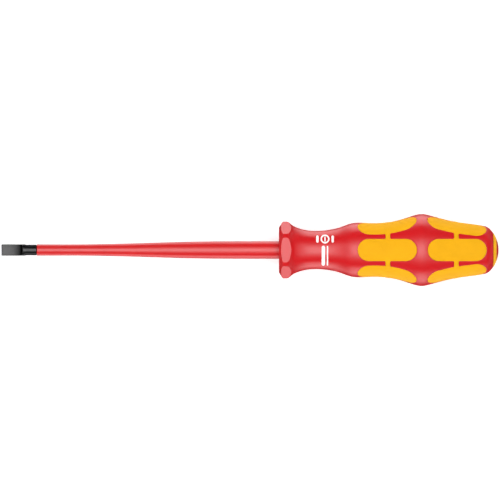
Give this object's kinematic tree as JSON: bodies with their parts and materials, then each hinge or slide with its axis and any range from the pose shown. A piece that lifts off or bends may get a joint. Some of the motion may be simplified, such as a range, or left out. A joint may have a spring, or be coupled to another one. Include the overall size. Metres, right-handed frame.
{
  "type": "insulated screwdriver",
  "caption": "Slotted screwdriver with an insulated slim shank, bare blackened tip and a waisted six-sided handle with soft grip pads and an anti-roll flange.",
  "frame": {"origin": "centre of the flat end face of the screwdriver tip", "axes": "+X along the tool's axis from the tip to the handle's tail, +Z out of one broad face of the tip and one flat of the handle, up when the tool lies on a table"},
  "size_m": [0.223, 0.0324, 0.032],
  "materials": {
    "black_steel": "black phosphated chrome-vanadium steel, satin, with a lighter ground tip",
    "insulation_red": "smooth glossy moulded insulation",
    "core_red": "hard moulding, hidden inside the shell",
    "shell_red": null,
    "soft_yellow": "soft matte moulded elastomer",
    "plug_red": "hard satin moulded plastic"
  },
  "bodies": {
    "root": {"blade": "black_steel", "blade_insulation": "insulation_red", "handle_core": "core_red", "handle_shell": "shell_red", "soft_grip_front": "soft_yellow", "soft_grip_rear": "soft_yellow", "tail_ring": "soft_yellow", "tail_plug": "plug_red"}
  },
  "joints": []
}
